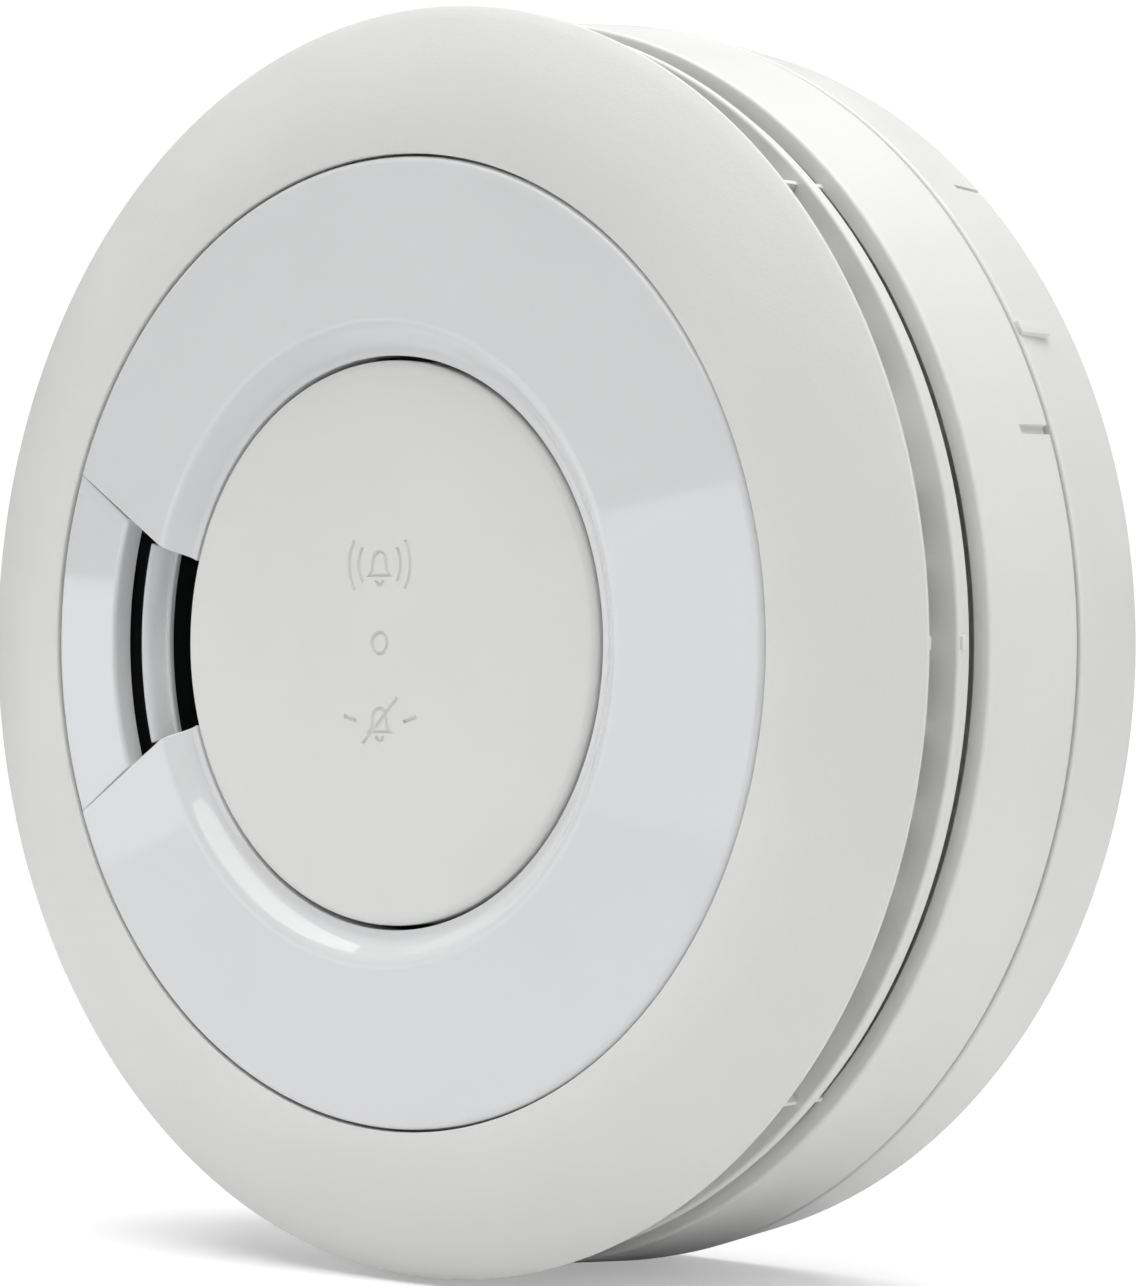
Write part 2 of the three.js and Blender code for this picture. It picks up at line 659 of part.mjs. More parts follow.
const chipBody = () => geometryOf(block(CHIP.x, [boardFront - CHIP.high, boardFront], CHIP.z));

function shieldCan() {
  const { x, z, high, wall } = SHIELD;
  const inset = ([low, top]) => [low + wall, top - wall];
  const outer = block(x, [boardFront - high, boardFront], z);
  const inner = block(inset(x), [boardFront - high + wall, boardFront + OVER], inset(z));
  return geometryOf(cut(outer, inner));
}

const lightRod = (y0, y1) => geometryOf(rodAt(LIGHT.radius, y0, y1, LIGHT.circle, LIGHT.deg));
const lightPipe = () => lightRod(back(DISC_THICK) + GAP, boardFront - LIGHT.high - GAP);
const indicatorLed = () => lightRod(boardFront - LIGHT.high, boardFront);

const alongX = (radius, x0, x1, facets) => {
  const geometry = new THREE.CylinderGeometry(radius, radius, x1 - x0, facets);
  return solid(geometry.rotateZ(Math.PI / 2).translate((x0 + x1) / 2, back(BATTERY_D), BATTERY_Z));
};

function batteryCell() {
  const half = BATTERY_LONG / 2;
  const can = alongX(BATTERY_R, -half, half - 1, MEDIUM);
  return geometryOf(join(can, alongX(3, half - 1.2, half, MEDIUM)));
}

function batteryCradle() {
  const floor = back(HOUSING_BACK_D) - SKIN - GAP;
  const [low, high] = CRADLE_Z;
  const saddle = (x) => block([x - 1.5, x + 1.5], [back(BATTERY_D), floor], CRADLE_Z);
  const railSpans = [
    [low, low + CRADLE_RAIL_WIDE],
    [high - CRADLE_RAIL_WIDE, high],
  ];
  const rails = railSpans.map((z) => block([-11.5, 11.5], [floor - 2, floor], z));
  const bore = alongX(BATTERY_R + GAP, -BATTERY_LONG, BATTERY_LONG, MEDIUM);
  return geometryOf(cut(join(saddle(-10), saddle(10), ...rails), bore));
}

// A welded strip from the end of the cell to the front of the board.
function batteryTab(side) {
  const shape = new THREE.Shape();
  const low = BATTERY_Z - 2;
  const high = BOARD_LOW_Z + 3.5;
  shape.moveTo(low, back(12.5));
  shape.lineTo(high, back(12.5));
  shape.lineTo(high, boardFront);
  shape.lineTo(BOARD_LOW_Z - 0.6, boardFront);
  shape.lineTo(low, back(17));
  const thick = 0.3;
  const geometry = new THREE.ExtrudeGeometry(shape, { depth: thick, bevelEnabled: false });
  const x = BATTERY_LONG / 2 + GAP;
  geometry.rotateY(-Math.PI / 2).translate(side > 0 ? x + thick : -x, 0, 0);
  return geometryOf(solid(geometry));
}

// ---------------------------------------------------------------- power slider
function powerSlider() {
  const wall = back(HOUSING_BACK_D) - SKIN;
  const { half, long } = SLIDER_BASE;
  const base = block([SLIDER_R - half, SLIDER_R + half], [wall - 1.8, wall - 0.5], [-long, long]);
  const fingers = [-1, 1].map((side) => {
    const near = side * (DRIVE_POST_R + GAP);
    const far = side * (DRIVE_POST_R + GAP + 1.6);
    const span = [Math.min(near, far), Math.max(near, far)];
    return block([SLIDER_R - 2.5, SLIDER_R + 2.5], [wall - 1, -7.2], span);
  });
  return geometryOf(join(base, ...fingers));
}

function slideSwitchBody() {
  const frame = block([SLIDER_R - 3, SLIDER_R + 3], [boardRear, boardRear + 1.6], [-10.5, 3]);
  const window = block([SLIDER_R - 1, SLIDER_R + 1], [boardRear - OVER, boardRear + 3], [-9.2, 1.6]);
  return geometryOf(cut(frame, window));
}

function slideSwitchKnob() {
  const end = back(HOUSING_BACK_D) - SKIN - 1.8 - GAP;
  return geometryOf(block([SLIDER_R - 0.7, SLIDER_R + 0.7], [boardRear + 0.4, end], [-0.8, 0.8]));
}

// ---------------------------------------------------------------- fasteners and label
function caseScrew(deg) {
  const seat = back(HOUSING_BACK_D) - COUNTERBORE;
  const top = seat + SCREW_HEAD_HIGH;
  const place = polar(SCREW_R, deg);
  const head = rodAt(SCREW_HEAD_R, seat + GAP, top, SCREW_R, deg);
  const shaft = rodAt(SCREW_SHAFT_R, back(8), seat + SINK, SCREW_R, deg, 10);
  const slots = [0, 90].map((turn) => {
    const slot = new THREE.BoxGeometry(3.2, 1.6, 0.7).rotateY(rad(turn));
    return solid(slot.translate(place.x, top, place.y));
  });
  return geometryOf(cut(join(head, shaft), ...slots));
}

function ratingLabel() {
  const front = back(HOUSING_BACK_D) + GAP;
  const { wide, tall, thick } = LABEL;
  return geometryOf(block([-wide / 2, wide / 2], [front, front + thick], [-tall / 2, tall / 2]));
}

// ---------------------------------------------------------------- assembly
function add(group, name, geometry, material) {
  const mesh = new THREE.Mesh(geometry, material);
  mesh.name = name;
  group.add(mesh);
  return mesh;
}

const alarm = new THREE.Group();
const head = new THREE.Group();
const button = new THREE.Group();
const chamber = new THREE.Group();
alarm.add(head);
head.add(button, chamber);

add(alarm, "mounting_plate", mountingPlate(), matteWhite());

add(head, "rear_housing", rearHousing(), matteWhite());
add(head, "inlet_ring", inletRing(), matteWhite());
add(head, "front_cover", frontCover(), matteWhite());
add(head, "trim_disc", trimDisc(), glossWhite());
add(head, "horn_mouth", hornMouth(), glossWhite());
add(head, "horn_throat", hornThroat(), glossWhite());
add(head, "horn_duct", hornDuct(), blackPlastic());
SCREW_ANGLES.forEach((deg, i) => add(head, `case_screw_${i + 1}`, caseScrew(deg), steel()));
add(head, "rating_label", ratingLabel(), finish(0xd8d8d6, 0.6));

add(button, "test_button", testButton(), satinWhite());
add(button, "button_spring", buttonSpring(), steel());
add(button, "button_carrier", buttonCarrier(), blackPlastic());
add(button, "test_switch_body", switchBody(), blackPlastic());
add(button, "test_switch_plunger", switchPlunger(), finish(0xc8452e, 0.5));

add(head, "sounder_housing", sounderHousing(), blackPlastic());
add(head, "piezo_disc", piezoDisc(), brass());
add(head, "piezo_ceramic", piezoCeramic(), finish(0xc9c7c0, 0.4));
add(head, "piezo_contact_inner", piezoContact(2), brass());
add(head, "piezo_contact_outer", piezoContact(12), brass());

add(chamber, "chamber_base", chamberBase(), blackPlastic());
add(chamber, "labyrinth_wall", labyrinthWall(), blackPlastic());
add(chamber, "insect_screen", insectScreen(), finish(0x8f9296, 0.4, 1));
add(chamber, "chamber_cap", chamberCap(), blackPlastic());
const emitter = add(chamber, "infrared_emitter", geometryOf(domed(OPTICS)), finish(0x2a2030, 0.2));
const receiver = add(chamber, "light_receiver", geometryOf(domed(OPTICS)), finish(0x101014, 0.2));
placeInChamber(emitter, OPTICS.emitterDeg);
placeInChamber(receiver, OPTICS.receiverDeg);

add(head, "circuit_board", circuitBoard(), finish(0x1f5a38, 0.5));
add(head, "microcontroller", chipBody(), blackPlastic());
add(head, "shield_can", shieldCan(), steel());
add(head, "capacitor_large", canOnBoard(LARGE_CAPACITOR), blackPlastic());
add(head, "capacitor_small", canOnBoard(SMALL_CAPACITOR), blackPlastic());
add(head, "boost_coil", canOnBoard(COIL), finish(0x2b2b2e, 0.6));
add(head, "indicator_led", indicatorLed(), finish(0xb03028, 0.3));
add(head, "light_pipe", lightPipe(), finish(0xe6ecf0, 0.1));

add(head, "battery_cell", batteryCell(), finish(0x3c4a5c, 0.4));
add(head, "battery_cradle", batteryCradle(), matteWhite());
add(head, "battery_tab_positive", batteryTab(1), steel());
add(head, "battery_tab_negative", batteryTab(-1), steel());

add(head, "slide_switch_body", slideSwitchBody(), blackPlastic());
add(head, "slide_switch_knob", slideSwitchKnob(), finish(0xf0f0ee, 0.5));
add(head, "power_slider", powerSlider(), finish(0xc23b2c, 0.5));

export default alarm;
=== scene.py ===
import json
import math

import bmesh
import bpy
from mathutils import Matrix, Vector


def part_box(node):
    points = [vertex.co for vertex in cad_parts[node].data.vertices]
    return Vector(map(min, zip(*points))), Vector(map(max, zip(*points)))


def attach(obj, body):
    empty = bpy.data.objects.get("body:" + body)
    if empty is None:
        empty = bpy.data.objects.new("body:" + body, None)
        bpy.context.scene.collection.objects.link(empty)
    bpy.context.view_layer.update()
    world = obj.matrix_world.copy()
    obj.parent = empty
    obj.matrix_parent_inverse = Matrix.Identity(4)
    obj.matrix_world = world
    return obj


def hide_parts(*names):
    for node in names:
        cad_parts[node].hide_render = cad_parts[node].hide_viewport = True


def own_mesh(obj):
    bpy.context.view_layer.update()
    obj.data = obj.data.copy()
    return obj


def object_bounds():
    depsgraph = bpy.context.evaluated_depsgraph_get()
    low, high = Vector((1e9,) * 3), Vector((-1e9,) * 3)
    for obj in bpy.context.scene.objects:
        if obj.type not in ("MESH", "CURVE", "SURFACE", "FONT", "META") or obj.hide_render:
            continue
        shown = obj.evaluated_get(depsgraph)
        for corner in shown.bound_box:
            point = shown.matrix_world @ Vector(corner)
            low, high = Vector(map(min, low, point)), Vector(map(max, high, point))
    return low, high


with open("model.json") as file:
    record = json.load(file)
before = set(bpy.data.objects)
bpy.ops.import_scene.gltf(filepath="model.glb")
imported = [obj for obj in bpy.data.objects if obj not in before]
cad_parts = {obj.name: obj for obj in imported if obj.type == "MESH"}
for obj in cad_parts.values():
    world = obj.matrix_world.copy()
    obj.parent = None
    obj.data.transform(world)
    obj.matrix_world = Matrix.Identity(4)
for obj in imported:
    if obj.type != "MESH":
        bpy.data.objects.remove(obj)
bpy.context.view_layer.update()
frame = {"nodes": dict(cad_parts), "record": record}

# The fine outer pieces of a twist-on smoke alarm, its materials, and a plain white studio.
# Shapes are in millimetres: radii from the alarm's axis, and depths behind the trim disc's
# face at its seam. Angles are in degrees, anticlockwise from +X as seen from the room.
MM = 0.001


def radius_of(node):
    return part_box(node)[1].x / MM


def front_of(node):
    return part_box(node)[0].y / MM


def depth(y):
    return y - FACE_Y


DISC_RISE = 1.8  # the disc's face rises this far from its seam to its crest
FACE_Y = front_of("trim_disc") + DISC_RISE
WALL_D = -FACE_Y
DISC_R = radius_of("trim_disc")
COVER_R = radius_of("front_cover")
BUTTON_R = radius_of("test_button")
BUTTON_TOP = depth(front_of("test_button"))
HOUSING_BACK_R = radius_of("rear_housing")
PLATE_R = radius_of("mounting_plate")
PLATE_FRONT = depth(front_of("mounting_plate"))

SEAM_R = DISC_R + 0.2  # opening in the cover for the trim disc
CREST_R = 28.5  # inside the crest the disc dips towards the button
DISC_HOLE_R = 25.75
WEDGE_HALF = 17.3  # half angle of the horn slot beside the button
WEDGE_FLARE = 4.7  # extra half angle at the seam
SLOT_GAP = 0.12  # between the horn mouth and the disc, along the circle
MOUTH_R = 35  # where the horn mouth ends over the slot
IN_SLOT_TRIM = 0.8  # the horn's inner pieces stop this many degrees short of the slot's sides
SCREW_CIRCLE = 50.5
SCREW_DEGREES = (20, 140, 260)
TAB_DEGREES = (0, 90, 180, 270)
FULL_TURN = 2 * math.pi
SHARP = math.radians(32)  # edges that turn more than this stay sharp
WELD = 1e-8  # metres; vertices closer than this become one
END_ARC = 5  # steps in the rounded ends of a swept piece


# ---------------------------------------------------------------- outlines
def rounded(corners, arc=5):
    """A closed outline of (radius, depth) points from corners (radius, depth, round)."""
    points = []
    for i, (r, d, size) in enumerate(corners):
        here = Vector((r, d))
        before = Vector(corners[i - 1][:2]) - here
        after = Vector(corners[(i + 1) % len(corners)][:2]) - here
        if size == 0:
            points.append(here)
            continue
        start = here + before.normalized() * min(size, 0.49 * before.length)
        end = here + after.normalized() * min(size, 0.49 * after.length)
        for k in range(arc + 1):
            t = k / arc
            points.append(start.lerp(here, t).lerp(here.lerp(end, t), t))
    return points


def inward(outline):
    """Unit vectors from each point of a closed outline towards its inside."""
    count = len(outline)
    area = sum(a.x * b.y - b.x * a.y for a, b in zip(outline, outline[1:] + outline[:1]))
    side = 1 if area > 0 else -1
    normals = []
    for i, here in enumerate(outline):
        ahead = (outline[(i + 1) % count] - here).normalized()
        along = ahead + (here - outline[i - 1]).normalized()
        normals.append(Vector((-along.y, along.x)).normalized() * side)
    return normals


# ---------------------------------------------------------------- meshes
def place(r, d, angle):
    """The point at that radius, depth and angle in radians, in metres."""
    return Vector((r * math.cos(angle), FACE_Y + d, r * math.sin(angle))) * MM


def made(name, bm):
    bmesh.ops.remove_doubles(bm, verts=bm.verts, dist=WELD)
    bmesh.ops.recalc_face_normals(bm, faces=bm.faces)
    mesh = bpy.data.meshes.new(name)
    bm.to_mesh(mesh)
    bm.free()
    mesh.shade_smooth()
    mesh.set_sharp_from_angle(angle=SHARP)
    piece = bpy.data.objects.new(name, mesh)
    bpy.context.scene.collection.objects.link(piece)
    return piece


def revolve(name, outline, segments=288):
    """A solid turned round the alarm's axis; outline points at radius 0 meet in one vertex."""
    bm = bmesh.new()
    rows = []
    for r, d in outline:
        if r == 0:
            rows.append([bm.verts.new(place(0, d, 0))] * segments)
        else:
            angles = [FULL_TURN * k / segments for k in range(segments)]
            rows.append([bm.verts.new(place(r, d, angle)) for angle in angles])
    for i, row in enumerate(rows):
        below = rows[(i + 1) % len(rows)]
        for k in range(segments):
            ring = [row[k], row[k - 1], below[k - 1], below[k]]
            corners = list(dict.fromkeys(ring))
            if len(corners) > 2:
                bm.faces.new(corners)
    return made(name, bm)


def swept(name, outline, limits, edge=0.3, step=1.25):
    """An outline swept between limits(radius), two angles in radians, with rounded ends."""
    normals = inward(outline)
    ends = []
    for k in range(END_ARC + 1):
        turn = math.radians(90 * k / END_ARC)
        ends.append((edge * (1 - math.cos(turn)), edge * (1 - math.sin(turn))))
    widest = max(outline, key=lambda p: limits(p.x)[1] - limits(p.x)[0])
    first, last = limits(widest.x)
    middle = max(2, math.ceil(math.degrees(last - first) / step))
    columns = [("first", along, inset) for along, inset in ends]
    columns += [("middle", k / middle, 0) for k in range(1, middle)]
    columns += [("last", along, inset) for along, inset in reversed(ends)]
    bm = bmesh.new()
    loops = []
    for kind, along, inset in columns:
        loop = []
        for point, normal in zip(outline, normals):
            first, last = limits(point.x)
            soft = edge / point.x
            if kind == "first":
                angle = first + along / point.x
            elif kind == "last":
                angle = last - along / point.x
            else:
                angle = first + soft + along * (last - first - 2 * soft)
            moved = point + normal * inset
            loop.append(bm.verts.new(place(moved.x, moved.y, angle)))
        loops.append(loop)
    skinned(bm, loops)
    return made(name, bm)


def sector(name, radii, depths, degrees, edge=0.15):
    """A block that follows the circle, with rounded edges."""
    (r0, r1), (d0, d1) = radii, depths
    corners = [(r0, d0, edge), (r1, d0, edge), (r1, d1, edge), (r0, d1, edge)]
    span = [math.radians(deg) for deg in degrees]
    return swept(name, rounded(corners, 2), lambda r: span, edge)


def bar(name, radii, depths, wide, degrees, edge=0.15):
    """Straight bars at several angles, each square to the radius, as one object."""
    bm = bmesh.new()
    for deg in degrees:
        fresh = bmesh.ops.create_cube(bm, size=1)["verts"]
        size = Matrix.Diagonal((radii[1] - radii[0], depths[1] - depths[0], wide, 1))
        centre = Vector((sum(radii) / 2, FACE_Y + sum(depths) / 2, 0))
        turn = Matrix.Rotation(-math.radians(deg), 4, "Y")
        bmesh.ops.transform(bm, matrix=turn @ Matrix.Translation(centre) @ size, verts=fresh)
    bmesh.ops.scale(bm, vec=(MM, MM, MM), verts=bm.verts)
    if edge:
        round_off = {"offset": edge * MM, "segments": 2, "profile": 0.5, "affect": "EDGES"}
        bmesh.ops.bevel(bm, geom=bm.edges[:], **round_off)
    return made(name, bm)


def rods(name, radius, depths, centres, segments=48, edge=0.0):
    """Round pegs along the alarm's axis at several (x, z) centres, as one object."""
    d0, d1 = depths
    outline = [(0, d0), (radius - edge, d0), (radius, d0 + edge)]
    outline += [(radius, d1 - edge), (radius - edge, d1), (0, d1)]
    bm = bmesh.new()
    for x, z in centres:
        rows = []
        centre = Vector((x, 0, z)) * MM
        for r, d in dict.fromkeys(outline):
            angles = [FULL_TURN * k / segments for k in (range(segments) if r else [0])]
            row = [bm.verts.new(place(r, d, angle) + centre) for angle in angles]
            rows.append(row * (segments // len(row)))
        for row, below in zip(rows, rows[1:]):
            for k in range(segments):
                corners = list(dict.fromkeys([row[k], row[k - 1], below[k - 1], below[k]]))
                bm.faces.new(corners)
    return made(name, bm)


def circle_points(radius, degrees):
    angles = [math.radians(deg) for deg in degrees]
    return [(radius * math.cos(angle), radius * math.sin(angle)) for angle in angles]


def skinned(bm, loops, closed=False):
    """Faces between loops of vertices that follow each other, capped unless they close."""
    pairs = zip(loops, loops[1:] + loops[:1]) if closed else zip(loops, loops[1:])
    for near, far in pairs:
        for k in range(len(near)):
            bm.faces.new([near[k - 1], near[k], far[k], far[k - 1]])
    if not closed:
        bm.faces.new(loops[0])
        bm.faces.new(loops[-1])


def combined(target, operation, *tools):
    """Joins the tools to the target or cuts them from it, and removes them."""
    for tool in tools:
        boolean = target.modifiers.new(operation, "BOOLEAN")
        boolean.operation = operation
        boolean.solver = "EXACT"
        boolean.object = tool
        graph = bpy.context.evaluated_depsgraph_get()
        mesh = bpy.data.meshes.new_from_object(target.evaluated_get(graph))
        target.modifiers.clear()
        old = target.data
        target.data = mesh
        bpy.data.meshes.remove(old)
        bpy.data.objects.remove(tool)
    target.data.set_sharp_from_angle(angle=SHARP)
    return target


def joined(target, *tools):
    return combined(target, "UNION", *tools)


def cut(target, *tools):
    return combined(target, "DIFFERENCE", *tools)


# ---------------------------------------------------------------- front pieces
DOME_R = (44.2, 56.9)  # the matte cover's surface starts to fall, and reaches its rim
DOME_FALL = 4.0
DOME_POWER = 1.7
DOME_POINTS = [44.6 + 0.5 * k for k in range(25)]
SILL_R, SILL_D = 41, 1.9  # ledge of the cover under the trim disc
RIM_D = 4.7


def dome(r):
    """Depth of the matte cover's surface, nearly flat at the seam and steeper at the rim."""
    start, stop = DOME_R
    return DOME_FALL * max(0, (r - start) / (stop - start)) ** DOME_POWER


def front_cover():
    surface = [(r, dome(r), 0) for r in DOME_POINTS]
    corners = [(SILL_R, SILL_D, 0.15), (SEAM_R, SILL_D, 0.1), (SEAM_R, 0, 0.15), *surface]
    corners += [(COVER_R, 4.36, 0.2), (COVER_R - 0.1, RIM_D, 0.12), (55.4, RIM_D, 0.15)]
    corners += [(54.4, 4.4, 0.3), (50, 3.5, 0), (SILL_R, 3.2, 0.15)]
    piece = revolve("front_cover_fine", rounded(corners))
    centres = circle_points(SCREW_CIRCLE, SCREW_DEGREES)
    piece = joined(
        piece,
        rods("bosses", 2.8, (3.4, 20.6), centres),
        bar("tabs", (56.3, 57.2), (4.3, 5.2), 1.4, TAB_DEGREES, 0.3),
    )
    return cut(piece, rods("bores", 1.5, (7, 22), centres))


def wedge_half(r):
    """Half the angle of the horn slot in radians, flaring out towards the seam."""
    out = max(0, (r - DISC_HOLE_R) / (SEAM_R - DISC_HOLE_R))
    return math.radians(WEDGE_HALF + WEDGE_FLARE * out)


DISC_BACK_D = 1.6
MOUTH_FACE_D = 0.2  # the horn mouth's face lies a little lower than the disc's


def trim_disc():
    corners = [(DISC_R, DISC_BACK_D, 0.1), (DISC_R, 0, 0.7), (CREST_R, -DISC_RISE, 0.8)]
    corners += [(26.7, 0.05, 0.9), (DISC_HOLE_R, 0.15, 0.12), (DISC_HOLE_R, 2.6, 0.12)]
    corners += [(27.2, 2.6, 0.15), (28.6, 1.2, 0.2), (31, 0.5, 0.2)]

    def limits(r):
        return wedge_half(r) - math.pi, math.pi - wedge_half(r)

    return swept("trim_disc_fine", rounded(corners, 7), limits, edge=0.16)


def horn_mouth():
    corners = [(DISC_R, DISC_BACK_D, 0.1), (DISC_R, MOUTH_FACE_D, 0.4), (MOUTH_R, -0.75, 0.5)]
    corners += [(MOUTH_R, 1.5, 0.15), (MOUTH_R + 2, 1.1, 0.1)]

    def limits(r):
        half = wedge_half(r) - SLOT_GAP / r
        return math.pi - half, math.pi + half

    return swept("horn_mouth_fine", rounded(corners, 8), limits, edge=0.1, step=0.8)


def in_slot(name, corners):
    """A turned outline that fills the horn slot's angle."""
    half = math.radians(WEDGE_HALF - IN_SLOT_TRIM)
    limits = (math.pi - half, math.pi + half)
    return swept(name, rounded(corners, 4), lambda r: limits, edge=0.1, step=0.8)


def horn_throat():
    corners = [(33.4, 5.6, 0.1), (33.4, 1.3, 0.25), (32.6, 1.45, 0.5), (32.0, 2.4, 0.4)]
    corners += [(31.75, 3.0, 0.1), (31.45, 2.75, 0.12), (31.15, 2.95, 0.12)]
    corners += [(31.2, 3.5, 0.1), (31.9, 4.1, 0.12)]
    return in_slot("horn_throat_fine", corners)


# The horn duct's black is painted shade: a dark piece below the horn mouth's lip, standing in
# for the deep shade in the slot under the short white throat.
DUCT_R = (33.7, 35)
DUCT_LIP_R, DUCT_LIP_D = 38.4, (3.6, 4.6)
DUCT_END_D = 17.2


def horn_duct():
    (near, far), (low, high) = DUCT_R, DUCT_LIP_D
    corners = [(near, DUCT_END_D, 0.1), (near, low, 0.2), (DUCT_LIP_R, low, 0.2)]
    corners += [(DUCT_LIP_R, high, 0.2), (far, high, 0.4), (far, DUCT_END_D, 0.1)]
    return in_slot("horn_duct_fine", corners)


RING_IN_R, RING_OUT_R = 52.6, 56.4
RING_D = (9.8, 12.2)
WEB_DEGREES = (45, 135, 225, 315)
COMB_COUNT = 48


def inlet_ring():
    near, far = RING_D
    corners = [(RING_IN_R, near, 0.2), (RING_OUT_R, near, 0.4), (RING_OUT_R, 10.5, 0.15)]
    corners += [(55.8, 10.6, 0.1), (55.8, far, 0.15), (RING_IN_R, far, 0.2)]
    piece = revolve("inlet_ring_fine", rounded(corners))
    comb = [k * 360 / COMB_COUNT for k in range(COMB_COUNT)]
    piece = joined(
        piece,
        bar("comb", (52.7, 53.2), (5, 14.5), 1.6, comb, 0.12),
        bar("webs", (53, 55.6), (5, 13.4), 0.5, WEB_DEGREES, 0.1),
        bar("tabs", (55.5, 56.7), (10.05, 10.9), 1.3, TAB_DEGREES, 0.25),
    )
    centres = circle_points(SCREW_CIRCLE, SCREW_DEGREES)
    return cut(piece, rods("clearances", 3.1, (4, 15), centres))


# ---------------------------------------------------------------- test button
GROOVE_WIDE = 0.4
GROOVE_DEEP = 0.22
GROOVE_SIDE = [(0.16, 1), (0.36, 0.7), (0.5, 0), (0.62, -0.3)]  # shares of the width and depth
GROOVE_SECTION = [(-u, v) for u, v in reversed(GROOVE_SIDE)] + GROOVE_SIDE


def groove(name, points, closed=False):
    """A cutter along (x, z) points whose section narrows towards the bottom of the groove."""
    path = [Vector(p) for p in points]
    count = len(path)
    bm = bmesh.new()
    loops = []
    for i, here in enumerate(path):
        ahead = path[(i + 1) % count] - here if closed or i < count - 1 else here - path[i - 1]
        behind = here - path[i - 1] if closed or i > 0 else ahead
        a, b = ahead.normalized(), behind.normalized()
        across = Vector((-(a + b).y, (a + b).x)).normalized()
        across /= max(0.5, across.dot(Vector((-a.y, a.x))))
        end = 0 if closed or 0 < i < count - 1 else GROOVE_WIDE * 0.3
        shift = a * end if i == count - 1 else -a * end
        loop = []
        for u, v in GROOVE_SECTION:
            x, z = here + shift * (1 - max(v, 0)) + across * (u * GROOVE_WIDE)
            y = FACE_Y + BUTTON_TOP + v * GROOVE_DEEP
            loop.append(bm.verts.new(Vector((x, y, z)) * MM))
        loops.append(loop)
    skinned(bm, loops, closed)
    return made(name, bm)


def moved(stroke, x, z):
    return [(px + x, pz + z) for px, pz in stroke]


BELL_Z = 7.0  # the bells' places above and below the button's middle
WAVE_RADII = (2.6, 3.8)
RING_R = 0.95
STROKE_THROUGH = [(-2.1, -2.0), (2.1, 2.0)]
STROKE_BESIDE = [(3.0, 0), (4.4, 0.4)]


def bell_strokes():
    """A plain bell: dome, flared foot and clapper, as strokes of (x, z) points."""
    dome_arc = moved(circle_points(0.8, range(180, -1, -20)), 0, 0.35)
    outline = [(-1.3, -0.95), (-0.9, -0.5), *dome_arc, (0.9, -0.5), (1.3, -0.95)]
    clapper = moved(circle_points(0.45, range(200, 341, 20)), 0, -1.3)
    return [(outline, True), (clapper, False)]


def wave(radius, middle, spread=34):
    """A sound wave: an arc of that radius, centred on the bell, towards the middle angle."""
    degrees = [middle - spread + spread * k / 5 for k in range(11)]
    return circle_points(radius, degrees)


def pictograms():
    """Bell with waves above, a ring in the middle, and a crossed-out bell below."""
    strokes = []
    for z in (BELL_Z, -BELL_Z):
        strokes += [(moved(stroke, 0, z), closed) for stroke, closed in bell_strokes()]
    for side in (0, 180):
        strokes += [(moved(wave(radius, side), 0, BELL_Z), False) for radius in WAVE_RADII]
    strokes.append((circle_points(RING_R, range(0, 360, 18)), True))
    strokes.append((moved(STROKE_THROUGH, 0, -BELL_Z), False))
    for side in (-1, 1):
        beside = [(side * x, z) for x, z in STROKE_BESIDE]
        strokes.append((moved(beside, 0, -BELL_Z), False))
    return [groove(f"stroke_{i}", points, closed) for i, (points, closed) in enumerate(strokes)]


SKIRT_D = 4.6
SKIRT_WALL = 0.8
BUTTON_ROOF = 2.1
GUIDE_R = 1.5
GUIDE_CIRCLE = 22.3
GUIDE_DEGREES = (30, 150)
ACTUATOR_DEGREES = (270,)


def test_button():
    top, inner = BUTTON_TOP, BUTTON_R - SKIRT_WALL
    under = top + BUTTON_ROOF
    corners = [(0, top, 0), (16, top, 0), (19.8, top, 0.9), (BUTTON_R, top + 0.45, 0.8)]
    corners += [(BUTTON_R, SKIRT_D, 0.15), (inner, SKIRT_D, 0.15), (inner, under, 0.2)]
    corners += [(0, under, 0)]
    piece = revolve("test_button_fine", rounded(corners, 8))
    guides = circle_points(GUIDE_CIRCLE, GUIDE_DEGREES)
    actuator = circle_points(GUIDE_CIRCLE, ACTUATOR_DEGREES)
    root = top + 1.8
    piece = joined(
        piece,
        rods("guides", GUIDE_R, (root, 5.8), guides, 32, 0.2),
        rods("actuator", GUIDE_R, (root, 11.8), actuator, 32, 0.2),
        rods("stud", 2.8, (root, 2.6), [(0, 0)], 48, 0.2),
    )
    return cut(piece, *pictograms())


SPRING_WIRE_R = 0.3
SPRING_TURNS = 3.5
SPRING_STEPS = 40  # sections in each turn
SPRING_SIDES = 12


def button_spring():
    low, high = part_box("button_spring")
    radius = high.x / MM - SPRING_WIRE_R
    start, end = low.y / MM + SPRING_WIRE_R, high.y / MM - SPRING_WIRE_R
    bm = bmesh.new()
    rings = []
    count = int(SPRING_TURNS * SPRING_STEPS)
    for i in range(count + 1):
        angle = FULL_TURN * i / SPRING_STEPS
        y = start + (end - start) * i / count
        centre = Vector((radius * math.cos(angle), y, radius * math.sin(angle)))
        outwards = Vector((math.cos(angle), 0, math.sin(angle)))
        ring = []
        for k in range(SPRING_SIDES):
            turn = FULL_TURN * k / SPRING_SIDES
            offset = outwards * math.cos(turn) + Vector((0, 1, 0)) * math.sin(turn)
            ring.append(bm.verts.new((centre + offset * SPRING_WIRE_R) * MM))
        rings.append(ring)
    skinned(bm, rings)
    return made("button_spring_fine", bm)


# ---------------------------------------------------------------- housing and plate
HOOK_DEGREES = (90, 210, 330)
HOOK_HALF = 5.5
HOOK_R = (47.6, 52.4)
HOUSING_REAR_D = 25.1
HOUSING_FRONT_R = 56.9
HOUSING_IN_R = 55.1
HOUSING_WALL = 1.8

